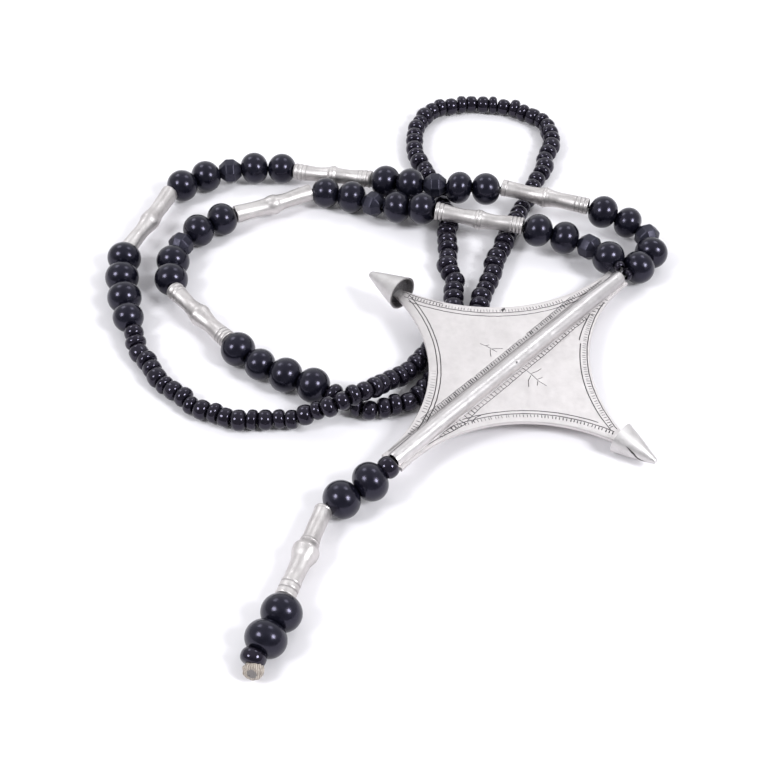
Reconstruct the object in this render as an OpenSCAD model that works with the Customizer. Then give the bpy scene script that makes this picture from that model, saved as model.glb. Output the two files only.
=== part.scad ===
// Bead necklace with silver bamboo tubes and a star pendant, lying in loose loops.
// X is to the right, Y is away from the viewer, Z is up and the surface is at Z = 0.

/* [Large beads] */
// Diameter of a large round bead
bead_d = 8; // [7.6:0.1:8.2]
// How much shorter a large bead is along its hole than across
bead_flat = 0.9; // [0.8:0.1:2]

/* [Small beads] */
// Diameter of a small bead of the long string
small_d = 4.8; // [4.2:0.1:5]
// Mean length that one small bead takes on the thread
small_pitch = 3.1; // [2.9:0.1:4]
// How much the lengths of the small beads vary, as a share
small_vary = 0.22; // [0:0.02:0.3]
// How far a small bead sits off its thread to one side
small_stray = 0.3; // [0:0.05:0.35]

/* [Faceted beads] */
// Distance between opposite facets of a faceted bead
facet_d = 5.8; // [5:0.1:5.8]

/* [Silver tubes] */
// Diameter of a tube at its ends
tube_d = 4.4; // [4:0.1:4.6]
// How much narrower a tube is between its ends and its middle
tube_waist = 0.5; // [0:0.1:0.8]
// Diameter of the ring lines that stand out of a tube
ring_wire = 0.7; // [0.5:0.1:0.9]

/* [Thread] */
// Diameter of each of the two threads
thread_d = 0.6; // [0.4:0.1:0.7]
// Diameter of the hole through beads and tubes
hole_d = 1.5; // [1.4:0.1:1.8]
// Space left between large neighbours on the thread
bead_gap = 0.22; // [0.15:0.01:0.4]
// Space left between small beads on the thread
small_gap = 0.4; // [0.3:0.01:0.6]
// Diameter of the end knot
knot_d = 4; // [3.4:0.1:4.4]

/* [Pendant] */
// Thickness of the star plate
plate_t = 1.1; // [1:0.1:1.6]
// Reach of the plate and its tube towards the strands
reach_strands = 43; // [41:0.5:44]
// Reach of the plate and its tube towards the tail
reach_tail = 40.5; // [39:0.5:42]
// Reach of the plate to the base of the upper cone
reach_upper = 34.5; // [33:0.5:36]
// Reach of the plate to the base of the lower cone
reach_lower = 31; // [30:0.5:32]
// Width of the plate at the ends of its tube
tip_w_tube = 6; // [5:0.2:7]
// Width of the plate where it meets a cone
tip_w_cone = 2.9; // [2.4:0.1:3.6]
// How deep each side of the plate curves in
side_sag = 8.8; // [7:0.2:9.4]
// Outer diameter of the tube across the plate, in its middle
cross_tube_d = 3.9; // [3.6:0.1:4.4]
// How much narrower that tube is at its ends
cross_tube_taper = 0.5; // [0:0.1:0.7]
// Inner diameter of the tube across the plate
cross_tube_bore = 2.2; // [1.8:0.1:2.4]
// Diameter of the upper cone at its base
cone_d = 8.4; // [7.6:0.2:8.8]
// Diameter of the lower cone at its base
lower_cone_d = 7.6; // [7:0.2:8.4]
// Length of the lower cone
cone_l = 9.7; // [8:0.1:11]
// Thickness of the sheet that a cone is rolled from
cone_wall = 0.7; // [0.5:0.1:1]
// Width of the open seam along a cone
seam_w = 0.5; // [0.3:0.1:0.8]

/* [Hidden] */
$fn = 48;

// Heights of a centre line above the surface
small_z = small_d / 2;
bead_z = 4;
over_small = small_d + small_z + 0.2;

// Pose of the pendant: the middle of its tube, its turn and its two slopes
pendant_at = [28.8, -14.2, 6.4];
pendant_turn = 48;
pendant_rise = 4;
pendant_lean = 1;
// The plate's top lies this much below the line through the two cones, the tube's line above it
plate_drop = 0.4;
tube_lift = 0.4;
// How far the middle of each point of the hand-cut plate sits off the star's middle lines
strands_shift = 0.1;
upper_shift = -0.5;
tail_shift = 1.4;
lower_shift = 1.1;
// How much deeper each side is cut than the shallowest one, from the one between strands and upper cone on
sag_more = [0, 0.3, 0.6, 0];
// The tube crosses the plate a little askew and stops short of the plate's end at the strands
tube_turn = -1.2;
tube_side = 0.25;
tube_short = 0.8;
// The upper cone is longer, droops and leans, and the lower cone sits a little below the plate's face
upper_longer = 1.2;
upper_droop = 8;
upper_lean = 3;
lower_cone_drop = 0.4;
// Where the open seams of the cones are, seen along each cone from its tip: the lower one faces up
seam_upper = 90;
seam_lower = -15;

// Inner strand, from the pendant's tube to the small beads: x, y, z
inner_route = [
    [58.3, 18.8, 7],
    [57.4, 20.6, 6.7],
    [53.8, 27, 5.2],
    [49.5, 31.2, 4.8],
    [42.2, 33, 5.5],
    [35, 34.2, 7.5],
    [12.5, 40.3, 7.5],
    [5.7, 43.1, 6.5],
    [-1, 44.5, 5],
    [-6.4, 48.6, 4.2],
    [-13, 51.2, 4],
    [-20, 52.4, 4],
    [-40.4, 43, 4],
    [-46.6, 39, 4],
    [-52, 34, 4],
    [-54.5, 28.5, 4],
    [-54.8, 21.2, 4],
    [-53.8, 13.9, 5.1],
    [-38.3, -3.5, 4],
    [-33.5, -9.5, 4],
    [-27.5, -13.2, 4],
    [-21, -16.5, 4],
    [-14, -19.8, 4]
];

// Outer strand, from the pendant's tube to the small beads: x, y, z
outer_route = [
    [59, 17.9, 5.2],
    [60.4, 19.4, 4.8],
    [65.6, 24.2, 4.2],
    [68.4, 30.7, 4.1],
    [65.8, 36.9, 4.2],
    [59.4, 40.2, 5.3],
    [52.5, 41.5, 7.8],
    [30, 49.5, 7.8],
    [22, 48, 7.8],
    [15.5, 49.8, 8.3],
    [9.3, 50, 8.2],
    [2.5, 51.8, 7],
    [-4, 55.9, 5.4],
    [-25.5, 60.8, 4.3],
    [-32.7, 63, 4],
    [-40, 61.5, 4],
    [-46, 61, 4],
    [-52.3, 56.5, 4],
    [-57.8, 52, 4.9],
    [-66.8, 29.6, 4],
    [-67.5, 22.5, 4.1],
    [-66.2, 15.3, 4],
    [-64.5, 8, 4],
    [-62.5, 1, 4]
];

// String of small beads between the two strands: x, y, z
small_route = [
    [-9.5, -22.3, 2.6],
    [-4, -24, small_z],
    [1.5, -23.2, small_z],
    [6.5, -20, small_z],
    [10, -15.5, small_z],
    [17, -4, small_z],
    [23, 11.5, small_z],
    [27, 25, small_z],
    [31, 36, small_z],
    [36, 48.5, small_z],
    [41.5, 61.5, small_z],
    [44, 69.5, small_z],
    [46, 77, small_z],
    [45, 83.5, small_z],
    [41, 88.5, small_z],
    [35, 92, small_z],
    [27, 93.6, small_z],
    [18, 93, small_z],
    [12, 89.5, small_z],
    [8.5, 84, small_z],
    [7.3, 75, small_z],
    [9, 66, small_z],
    [12.5, 57, small_z],
    [15, 48.5, small_z],
    [15.5, 38, small_z],
    [15.2, 26, small_z],
    [16.5, 12.5, small_z],
    [9.5, -5.5, small_z],
    [3.6, -13.2, 2.8],
    [-1.2, -18.2, 4.8],
    [-5.8, -22.9, over_small],
    [-11, -26, over_small],
    [-17, -27, 4.8],
    [-23, -27.2, 2.8],
    [-31, -27.5, small_z],
    [-40.5, -25.5, small_z],
    [-51, -18, small_z],
    [-59, -7, small_z]
];

// Tail, from the pendant's tube to the end knot: x, y, z
tail_route = [
    [1.8, -44.4, 7.5],
    [-0.4, -46.2, 6.4],
    [-6.9, -49.4, 4.6],
    [-12.6, -53.7, 4],
    [-21.2, -77.3, 4],
    [-23.4, -84, 4.15],
    [-25.8, -89.8, 4.2],
    [-27, -93, 3.2],
    [-27.4, -96.5, 2.6]
];

// Pieces in order from the pendant: kind, length taken on the thread, diameter, bare thread before it.
// Diameters of beads and cut beads are those at these usual sizes, and change with bead_d and facet_d.
usual_bead = 8;
usual_facet = 5.8;
inner_pieces = [
    ["tiny", 2.1, 2.8],
    ["bead", 7.5, 8],
    ["facet", 6.2, 5.7, 0.2],
    ["bead", 7.5, 8, 0.4],
    ["bead", 7.5, 8],
    ["tube", 23.3, 5.4, 0.1],
    ["bead", 7.3, 8, 0.1],
    ["bead", 7, 8, 0.1],
    ["facet", 6.7, 5.8, 0.3],
    ["bead", 7.1, 8],
    ["bead", 7.1, 7.6],
    ["tube", 22.4, 5.2, 0.7],
    ["bead", 7.4, 8],
    ["bead", 7.4, 8],
    ["facet", 6.1, 5.6, 0.1],
    ["bead", 7.3, 8, 0.1],
    ["bead", 7.3, 8, 0.1],
    ["tube", 23.5, 5.6, 0.8],
    ["bead", 7.7, 8],
    ["bead", 7.1, 7.3],
    ["bead", 7.3, 8],
    ["bead", 7.5, 8]
];
outer_pieces = [
    ["tiny", 2.1, 2.8],
    ["bead", 7.1, 8],
    ["bead", 7.1, 8, 0.25],
    ["facet", 6.7, 5.6, 0.8],
    ["bead", 7.2, 7.6, 0.6],
    ["bead", 7.4, 8, 0.1],
    ["tube", 23.9, 5.4, 0.4],
    ["bead", 8.1, 8, 0.6],
    ["bead", 6.8, 8, 0.25],
    ["facet", 6.2, 5.7, 0.1],
    ["bead", 7.1, 8, 0.1],
    ["bead", 7.9, 8],
    ["tube", 22, 5.6, 0.2],
    ["bead", 7.5, 7.7],
    ["bead", 7.4, 8, 0.2],
    ["facet", 6.1, 5.7],
    ["bead", 7.7, 8, 0.3],
    ["bead", 7.2, 8],
    ["tube", 24.3, 5.2, 0.8],
    ["bead", 7.2, 8.1, 0.2],
    ["bead", 7.4, 8, 0.1],
    ["bead", 7.4, 8],
    ["bead", 7.3, 7.2]
];
tail_pieces = [
    ["small", 2.8, 4.7],
    ["bead", 7.3, 8.2, 0.1],
    ["bead", 7.2, 8],
    ["tube", 25, 6, 1],
    ["bead", 7.1, 8],
    ["bead", 6.8, 8.1],
    ["small", 2.6, 4.9, 0.2]
];
// Thread left bare before the first piece of each strand
lead_inner = 0.1;
lead_outer = 0.1;
lead_tail = 0.8;

// Forms of the tubes, one row each: rings at the near end, at the far end, and in the middle
inner_tube_forms = [[3, 3, 1], [0, 0, 0], [2, 2, 0]];
outer_tube_forms = [[2, 1, 1], [3, 3, 0], [0, 0, 0]];
tail_tube_forms = [[1, 3, 1]];

function flip(list) = [for (i = [len(list) - 1 : -1 : 0]) list[i]];
function total(list, n) = n == 0 ? 0 : list[n - 1] + total(list, n - 1);
function column(list, k) = [for (row = list) row[k]];
function last(list) = list[len(list) - 1];

// A smooth curve through the inner points of a list, never below the small beads' own height
curve_steps = 6;
function curve_at(p, i, t) = 0.5 * (2 * p[i] + (p[i + 1] - p[i - 1]) * t
    + (2 * p[i - 1] - 5 * p[i] + 4 * p[i + 1] - p[i + 2]) * t * t
    + (3 * p[i] - p[i - 1] - 3 * p[i + 1] + p[i + 2]) * t * t * t);
function curve(p) = [
    for (i = [1 : len(p) - 3], k = [1 : curve_steps])
        let (q = curve_at(p, i, k / curve_steps))
            [q[0], q[1], max(q[2], small_z)]
];

// A path with the length along it beside each point, and the point at any length
function lengths(p) = [
    for (i = 0, s = 0; i < len(p); s = s + (i + 1 < len(p) ? norm(p[i + 1] - p[i]) : 0), i = i + 1) s
];
function table(p) = let (s = lengths(p)) [for (k = [0 : 2]) [for (i = [0 : len(p) - 1]) [s[i], p[i][k]]]];
function at(tab, s) = [lookup(s, tab[0]), lookup(s, tab[1]), lookup(s, tab[2])];
function span(tab) = last(tab[0])[0];

small_guides = concat(
    [inner_route[len(inner_route) - 2], last(inner_route)],
    small_route,
    [last(outer_route), outer_route[len(outer_route) - 2]]
);
outer_back = flip([for (i = [0 : len(outer_route) - 2]) outer_route[i]]);
loop_path = concat(inner_route, curve(small_guides), outer_back);
loop = table(loop_path);
tail = table(tail_route);

// Ends of the pieces along the thread, from the start of each stretch
function ends(pieces, lead) = [for (i = [0 : len(pieces)]) lead + total(column(pieces, 1), i)];
inner_ends = ends(inner_pieces, lead_inner);
outer_ends = [for (s = ends(outer_pieces, lead_outer)) span(loop) - s];
tail_ends = ends(tail_pieces, lead_tail);

// The small beads fill what the two strands leave of the loop, with lengths that vary a little
small_from = last(inner_ends);
small_to = last(outer_ends);
small_count = round((small_to - small_from) / small_pitch);
small_weights = [for (i = [0 : small_count - 1]) 1 + small_vary * sin(i * 137.5)];
small_scale = (small_to - small_from) / total(small_weights, small_count);
small_ends = [for (i = [0 : small_count]) small_from + small_scale * total(small_weights, i)];
small_share_inner = 0.45;
small_half = floor(small_count * small_share_inner);

// Puts a child that stands along Z on the line from one point to another, at its middle
module between(a, b) {
    v = b - a;
    translate((a + b) / 2)
        rotate([0, acos(v[2] / norm(v)), atan2(v[1], v[0])])
            children();
}

// A round bead with a hole, turned from an arc: its length is less than its diameter
module round_bead(d, l) {
    side = l / 2;
    rotate_extrude()
        difference() {
            union() {
                translate([d / 2 - side, 0])
                    circle(r = side);
                translate([0, -side])
                    square([d / 2 - side, l]);
            }
            translate([-d, -d])
                square([d + hole_d / 2, 2 * d]);
        }
}

// A bead cut with six square, twelve slanting and eight corner facets
corner_turn = 54.7356;
module facet_bead(d) {
    difference() {
        intersection() {
            cube(d, center = true);
            rotate([45, 0, 0])
                cube(d, center = true);
            rotate([0, 45, 0])
                cube(d, center = true);
            rotate([0, 0, 45])
                cube(d, center = true);
            intersection_for (turn = [45 : 90 : 315])
                rotate([0, corner_turn, turn])
                    cube([2 * d, 2 * d, d], center = true);
        }
        cylinder(d = hole_d, h = 2 * d, center = true);
    }
}

// Radius of a bamboo tube at a share of its length: narrow between its ends and its swollen middle
function swell(t) = exp(-pow((t - 0.5) / 0.09, 2));
function waist(t) = pow(sin(t * 360), 2);
function tube_r(t, mid_d) = tube_d / 2 - tube_waist / 2 * waist(t) + (mid_d - tube_d) / 2 * swell(t);
tube_sections = 24;
ring_step = 1.1;
// How much of a ring line's diameter stands out past the middle of its wire
ring_proud = 0.28;

module bamboo_tube(l, mid_d, form) {
    profile = [for (i = [0 : tube_sections]) let (t = i / tube_sections) [tube_r(t, mid_d), (t - 0.5) * l]];
    rotate_extrude()
        difference() {
            union() {
                polygon(concat([[hole_d / 2, -l / 2]], profile, [[hole_d / 2, l / 2]]));
                if (form[0] > 0)
                    for (k = [0 : form[0] - 1])
                        ring_profile(-l / 2 + ring_wire / 2 + k * ring_step, l, mid_d);
                if (form[1] > 0)
                    for (k = [0 : form[1] - 1])
                        ring_profile(l / 2 - ring_wire / 2 - k * ring_step, l, mid_d);
                if (form[2] > 0)
                    ring_profile(0, l, mid_d);
            }
            translate([-2 * tube_d, -l])
                square([2 * tube_d + hole_d / 2, 2 * l]);
        }
}

module ring_profile(y, l, mid_d) {
    translate([tube_r(y / l + 0.5, mid_d) - ring_wire * ring_proud, y])
        circle(d = ring_wire, $fn = 24);
}

// One piece of a strand: its length is what it takes on the thread less the gap and the bare thread
module piece(row, from, to, form) {
    kind = row[0];
    d = row[2];
    bare = len(row) > 3 ? row[3] : 0;
    a = from + bare * unit(to - from);
    b = to;
    l = norm(b - a) - bead_gap;
    between(a, b)
        if (kind == "tube")
            color("silver")
                bamboo_tube(l, d, form);
        else if (kind == "facet")
            color([0.13, 0.13, 0.16])
                facet_bead(d * facet_d / usual_facet);
        else if (kind == "bead")
            color([0.09, 0.09, 0.11])
                round_bead(d * bead_d / usual_bead, min(l, d - bead_flat));
        else
            color([0.07, 0.07, 0.09])
                round_bead(d, l);
}

// How many pieces of the same kind come up to and with the piece i
function rank(pieces, i) = len([for (k = [0 : i]) if (pieces[k][0] == pieces[i][0]) k]);
function names(strand, pieces) = [
    for (i = [0 : len(pieces) - 1]) str(strand, "_", pieces[i][0], "_", rank(pieces, i))
];

module strand(strand_names, pieces, tab, ends, forms) {
    for (i = [0 : len(pieces) - 1])
        piece(pieces[i], at(tab, ends[i]), at(tab, ends[i + 1]), forms[rank(pieces, i) - 1]);
}

// A stretch of the small beads, each a little off the thread to one side
module small_string(from, to) {
    color([0.07, 0.07, 0.09])
        for (i = [from : to]) {
            a = at(loop, small_ends[i]);
            b = at(loop, small_ends[i + 1]);
            side = unit(cross([0, 0, 1], b - a)) * small_stray * sin(i * 97);
            between(a + side, b + side)
                round_bead(small_d - 0.3 * pow(sin(i * 77), 2), norm(b - a) - small_gap);
        }
}

// The pendant's own frame: X along its tube to the strands, Y to the upper cone, Z out of its face
module pendant_pose() {
    translate(pendant_at)
        rotate([0, 0, pendant_turn])
            rotate([pendant_rise, pendant_lean, 0])
                children();
}
function turn_z(p, a) = [p[0] * cos(a) - p[1] * sin(a), p[0] * sin(a) + p[1] * cos(a), p[2]];
function turn_x(p, a) = [p[0], p[1] * cos(a) - p[2] * sin(a), p[1] * sin(a) + p[2] * cos(a)];
function turn_y(p, a) = [p[0] * cos(a) + p[2] * sin(a), p[1], p[2] * cos(a) - p[0] * sin(a)];
function on_pendant(p) = pendant_at + turn_z(turn_y(turn_x(p, pendant_rise), pendant_lean), pendant_turn);

// The circle that cuts one side of the plate, from one corner to the other
module side_cut(a, b, sag) {
    chord = norm(b - a);
    r = (chord * chord / 4 + sag * sag) / (2 * sag);
    out = [(b - a)[1], -(b - a)[0]] / chord;
    translate((a + b) / 2 + out * (r - sag))
        circle(r = r, $fn = 120);
}

module star_outline() {
    w = tip_w_tube / 2;
    v = tip_w_cone / 2;
    corners = [
        [reach_strands, strands_shift - w], [reach_strands, strands_shift + w],
        [upper_shift + v, reach_upper], [upper_shift - v, reach_upper],
        [-reach_tail, tail_shift + w], [-reach_tail, tail_shift - w],
        [lower_shift - v, -reach_lower], [lower_shift + v, -reach_lower]
    ];
    difference() {
        polygon(corners);
        for (k = [0 : 3])
            side_cut(corners[2 * k + 1], corners[(2 * k + 2) % 8], side_sag + sag_more[k]);
    }
}

// A cone rolled from sheet, closed by a disc at its base and open along a seam, tip towards +Y
tip_r = 0.7;
rim = 0.3;
module rolled_cone(base_d, length, seam_turn) {
    rotate([-90, 0, 0])
        difference() {
            cylinder(r1 = base_d / 2, r2 = tip_r, h = length);
            translate([0, 0, -1])
                cylinder(d = base_d - 2 * cone_wall, h = 1 + rim);
            translate([0, 0, rim + cone_wall])
                cylinder(r1 = base_d / 2 - 1.5 * cone_wall, r2 = 0.2, h = length - 3 * cone_wall);
            rotate([0, 0, seam_turn])
                translate([0, -seam_w / 2, length * 0.3])
                    cube([base_d, seam_w, length]);
        }
}

// The tube across the plate, along +X from the plate's end at the tail: narrower towards both ends
taper_l = 12;
module cross_tube() {
    l = reach_tail + reach_strands - tube_short;
    end_d = cross_tube_d - cross_tube_taper;
    translate([0, tube_side, tube_lift])
        rotate([0, 0, tube_turn])
            translate([-reach_tail, 0, 0])
                rotate([0, 90, 0]) {
                    cylinder(d1 = end_d, d2 = cross_tube_d, h = taper_l);
                    translate([0, 0, taper_l])
                        cylinder(d = cross_tube_d, h = l - 2 * taper_l);
                    translate([0, 0, l - taper_l])
                        cylinder(d1 = cross_tube_d, d2 = end_d, h = taper_l);
                }
}
function on_tube(x) = [x * cos(tube_turn), tube_side + x * sin(tube_turn), tube_lift];

module pendant() {
    color("silver")
        pendant_pose()
            difference() {
                union() {
                    translate([0, 0, -plate_drop - plate_t])
                        linear_extrude(plate_t)
                            star_outline();
                    cross_tube();
                    translate([upper_shift, reach_upper - rim - 0.25, 0])
                        rotate([-upper_droop, 0, -upper_lean])
                            rolled_cone(cone_d, cone_l + upper_longer, seam_upper);
                    translate([lower_shift, -reach_lower + rim + 0.1, -lower_cone_drop])
                        rotate([0, 0, 180])
                            rolled_cone(lower_cone_d, cone_l, seam_lower);
                }
                translate(on_tube(-reach_tail - 4))
                    rotate([0, 90, tube_turn])
                        cylinder(d = cross_tube_bore, h = reach_tail + reach_strands + 8);
            }
}

// Sweeps a thread of six sides along a path
thread_sides = 6;
function unit(v) = v / norm(v);
function heading(p, i) = unit(p[min(i + 1, len(p) - 1)] - p[max(i - 1, 0)]);
function ring_at(p, i) =
    let (h = heading(p, i), side = unit(cross([0, 0, 1], h)), up = cross(h, side))
        [for (k = [0 : thread_sides - 1]) p[i] + thread_d / 2 * (side * cos(k * 60) + up * sin(k * 60))];
module sweep_thread(p) {
    points = [for (i = [0 : len(p) - 1]) each ring_at(p, i)];
    walls = [
        for (i = [0 : len(p) - 2], k = [0 : thread_sides - 1])
            let (a = i * thread_sides + k, b = i * thread_sides + (k + 1) % thread_sides)
                [a, a + thread_sides, b + thread_sides, b]
    ];
    near_end = [for (k = [0 : thread_sides - 1]) k];
    far_end = [for (k = [thread_sides - 1 : -1 : 0]) (len(p) - 1) * thread_sides + k];
    polyhedron(points = points, faces = concat([near_end], walls, [far_end]), convexity = 10);
}

// The knot follows the last piece of the tail
knot_l = knot_d * 0.8;
knot_start = at(tail, last(tail_ends));
knot_way = unit(last(tail_route) - knot_start);

// The two threads lie side by side through the tail and the pendant's tube
pair_gap = 0.33;
function beside(p, i, side) = p[i] + side * pair_gap * unit(cross([0, 0, 1], heading(p, i)));
tail_line = concat(
    [on_pendant(on_tube(reach_strands - tube_short)), on_pendant(on_tube(-reach_tail))],
    [for (s = tail_ends) at(tail, s)],
    [knot_start + knot_way * (bead_gap / 2 + knot_l / 2)]
);
function pair(side) = [for (i = [0 : len(tail_line) - 1]) beside(tail_line, i, side)];
loop_line = concat(
    [for (s = inner_ends) at(loop, s)],
    [for (i = [1 : small_count]) at(loop, small_ends[i])],
    flip([for (i = [0 : len(outer_ends) - 2]) at(loop, outer_ends[i])])
);
module thread() {
    color([0.12, 0.11, 0.11])
        sweep_thread(concat(flip(pair(-1)), loop_line, pair(1)));
}

// A ball a little flattened, with a hole part of the way in for the ends of the threads
module knot_form() {
    side = knot_l / 2;
    rotate_extrude()
        difference() {
            union() {
                translate([knot_d / 2 - side, 0])
                    circle(r = side);
                translate([0, -side])
                    square([knot_d / 2 - side, knot_l]);
            }
            translate([-knot_d, -knot_d])
                square([knot_d, 2 * knot_d]);
            translate([0, -side])
                square([hole_d / 2, knot_l * 0.7]);
        }
}

module end_knot() {
    color([0.72, 0.64, 0.54])
        between(knot_start + knot_way * bead_gap / 2, knot_start + knot_way * (bead_gap / 2 + knot_l))
            knot_form();
}

inner_names = names("inner", inner_pieces);
outer_names = names("outer", outer_pieces);
tail_names = names("tail", tail_pieces);

pendant();
thread();
end_knot();
small_string(0, small_half - 1);  // small_beads_inner
small_string(small_half, small_count - 1);  // small_beads_outer
strand(inner_names, inner_pieces, loop, inner_ends, inner_tube_forms);
strand(outer_names, outer_pieces, loop, outer_ends, outer_tube_forms);
strand(tail_names, tail_pieces, tail, tail_ends, tail_tube_forms);
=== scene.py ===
"""Bead necklace with silver bamboo tubes and a star pendant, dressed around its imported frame."""
import math
import random

import bmesh
import bpy
import numpy as np
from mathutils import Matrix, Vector, geometry, noise


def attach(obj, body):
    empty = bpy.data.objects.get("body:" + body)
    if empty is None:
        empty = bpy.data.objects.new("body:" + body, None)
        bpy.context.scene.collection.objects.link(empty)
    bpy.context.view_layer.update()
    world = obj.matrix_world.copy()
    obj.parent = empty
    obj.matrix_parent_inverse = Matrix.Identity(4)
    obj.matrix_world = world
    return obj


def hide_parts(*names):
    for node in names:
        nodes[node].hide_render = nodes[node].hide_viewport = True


MM = 0.001
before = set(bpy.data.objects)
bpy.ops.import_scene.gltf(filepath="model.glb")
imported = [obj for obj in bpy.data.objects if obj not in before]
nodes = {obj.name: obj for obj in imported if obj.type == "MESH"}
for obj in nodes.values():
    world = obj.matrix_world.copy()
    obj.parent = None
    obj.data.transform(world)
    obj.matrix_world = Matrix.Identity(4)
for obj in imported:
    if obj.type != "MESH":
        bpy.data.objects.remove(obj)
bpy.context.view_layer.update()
scene = bpy.context.scene


# Materials

def feed(node, **values):
    """Sets or links the node's inputs of these names, or else its settings."""
    for key, value in values.items():
        label = key.replace("_", " ")
        if label not in node.inputs:
            setattr(node, key, value)
        elif isinstance(value, bpy.types.NodeSocket):
            node.id_data.links.new(value, node.inputs[label])
        else:
            node.inputs[label].default_value = value


def add_node(beside, kind, **values):
    """A new shader node in the tree of a node or socket."""
    made = beside.id_data.nodes.new(kind)
    feed(made, **values)
    return made


def start_material(name, **values):
    """A new material, its shader and its object coordinates."""
    made = bpy.data.materials.new(name)
    made.use_nodes = True
    shader = made.node_tree.nodes["Principled BSDF"]
    feed(shader, **values)
    return made, shader, add_node(shader, "ShaderNodeTexCoord").outputs["Object"]


def noise_of(at, scale, detail=3.0, rough=0.55):
    """Noise with its scale per metre."""
    made = add_node(at, "ShaderNodeTexNoise", Vector=at, Scale=scale, Detail=detail, Roughness=rough)
    return made.outputs["Fac"]


def ramp(value, stops):
    """Colours by value: stops are (position, (r, g, b))."""
    made = add_node(value, "ShaderNodeValToRGB", Fac=value)
    line = made.color_ramp.elements
    while len(line) < len(stops):
        line.new(0.5)
    for mark, (where, colour) in zip(line, stops):
        mark.position = where
        mark.color = (*colour, 1.0)
    return made.outputs["Color"]


def remap(value, low, high, to_low=0.0, to_high=1.0):
    made = add_node(value, "ShaderNodeMapRange", Value=value, From_Min=low, From_Max=high)
    feed(made, To_Min=to_low, To_Max=to_high)
    return made.outputs["Result"]


def mix(share, one, two):
    """Two colours mixed by a share. Each is an output or three numbers."""
    made = add_node(share, "ShaderNodeMix", data_type="RGBA")
    for spot, value in (("Factor_Float", share), ("A_Color", one), ("B_Color", two)):
        into = next(s for s in made.inputs if s.identifier == spot)
        if isinstance(value, bpy.types.NodeSocket):
            made.id_data.links.new(value, into)
        else:
            into.default_value = (*value, 1.0)
    return next(s for s in made.outputs if s.identifier == "Result_Color")


def combine(kind, one, two):
    """The sum or product of an output and a second output or a number."""
    made = add_node(one, "ShaderNodeMath", operation=kind)
    made.id_data.links.new(one, made.inputs[0])
    if isinstance(two, bpy.types.NodeSocket):
        made.id_data.links.new(two, made.inputs[1])
    else:
        made.inputs[1].default_value = two
    return made.outputs[0]


def bumps(shader, *layers):
    """Stacks bump layers: (height output, depth in metres, strength)."""
    below = {}
    for height, depth, strength in layers:
        made = add_node(shader, "ShaderNodeBump", Height=height, Distance=depth, Strength=strength, **below)
        below = {"Normal": made.outputs["Normal"]}
    feed(shader, **below)


def recess_of(shader):
    return add_node(shader, "ShaderNodeAttribute", attribute_name="recess").outputs["Fac"]


# One dark colour for tarnish in grooves and for painted shade in bores, cone mouths and on the cross tube's
# near side
TARNISH_AND_SHADE, TARNISH_ROUGH = (0.085, 0.08, 0.085), 0.25
GRAIN_SHARE, SCRATCH_SHARE = 0.22, 0.35
SCRATCH_SCALE, SCRATCH_TURN = (9000.0, 420.0, 900.0), (0.0, 0.0, math.radians(38))


def silver_material(name, rough, light, grey, hammer, full=1.0):
    """Satin silver, darkened towards tarnish and painted shade where the recess attribute reaches the value
    full.
    """
    patch, dent, smear, pore, speck, grain = 260.0, 420.0, 700.0, 2600.0, 3000.0, 5200.0
    made, shader, at = start_material(name, Metallic=1.0)
    colour = ramp(noise_of(at, patch, 4.0, 0.6), [(0.3, grey), (0.62, light)])
    colour = mix(remap(noise_of(at, grain, 2.0, 0.6), 0.35, 0.7, 0.0, GRAIN_SHARE), colour, grey)
    brushed = add_node(at, "ShaderNodeMapping", Vector=at, Scale=SCRATCH_SCALE, Rotation=SCRATCH_TURN)
    scratch = noise_of(brushed.outputs["Vector"], 1.0, 2.0)
    colour = mix(remap(scratch, 0.62, 0.72, 0.0, SCRATCH_SHARE), colour, grey)
    # Tarnish and painted shade, read from the recess attribute
    dark_share = remap(recess_of(shader), 0.0, full)
    specks = remap(noise_of(at, speck, 2.0), 0.25, 0.6, 0.75, 1.0)
    colour = mix(combine("MULTIPLY", dark_share, specks), colour, TARNISH_AND_SHADE)
    spread = remap(noise_of(at, smear), 0.3, 0.7, rough - 0.06, rough + 0.08)
    rougher = combine("MULTIPLY", dark_share, TARNISH_ROUGH)
    feed(shader, Base_Color=colour, Roughness=combine("ADD", spread, rougher))
    dents, pores = noise_of(at, dent, 2.0), noise_of(at, pore, 3.0, 0.6)
    bumps(shader, (dents, hammer, 0.5), (pores, 0.02 * MM, 0.35), (scratch, 0.012 * MM, 0.3))
    return made


BEAD_IOR = 1.47


def bead_material(name, dark, pale, rough, tint, pit):
    """Black glass or stone with faint clouds, flecks and pits."""
    cloud, swell, smear, fleck, pore = 330.0, 650.0, 900.0, 4200.0, 5200.0
    made, shader, at = start_material(name, IOR=BEAD_IOR, Specular_Tint=(*tint, 1.0))
    colour = ramp(noise_of(at, cloud, 4.0, 0.6), [(0.35, dark), (0.75, pale)])
    flecks = remap(noise_of(at, fleck, 2.0), 0.68, 0.78, 0.0, 0.5)
    spread = remap(noise_of(at, smear), 0.3, 0.7, rough * 0.75, rough * 1.3)
    feed(shader, Base_Color=mix(flecks, colour, pale), Roughness=spread)
    bumps(shader, (noise_of(at, swell, 2.0), 0.04 * MM, 0.25), (noise_of(at, pore), pit, 0.35))
    return made


CUT_FIBRE = (0.17, 0.155, 0.15)


def fibre_material(name, stops, turns, depth):
    """Twisted fibres: strands are waves, broken up by noise."""
    warp, fluff = 900.0, 9000.0
    made, shader, at = start_material(name, Roughness=0.85, Sheen_Weight=0.25)
    wave = add_node(at, "ShaderNodeTexWave", Vector=at, Scale=turns, Distortion=5.0, Detail=3.0)
    feed(wave, Detail_Scale=2.0)
    both = combine("ADD", wave.outputs["Fac"], noise_of(at, warp))
    colour = ramp(combine("MULTIPLY", both, 0.5), stops)
    feed(shader, Base_Color=mix(recess_of(shader), colour, CUT_FIBRE))
    bumps(shader, (both, depth, 0.6), (noise_of(at, fluff), depth * 0.4, 0.5))
    return made


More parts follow.
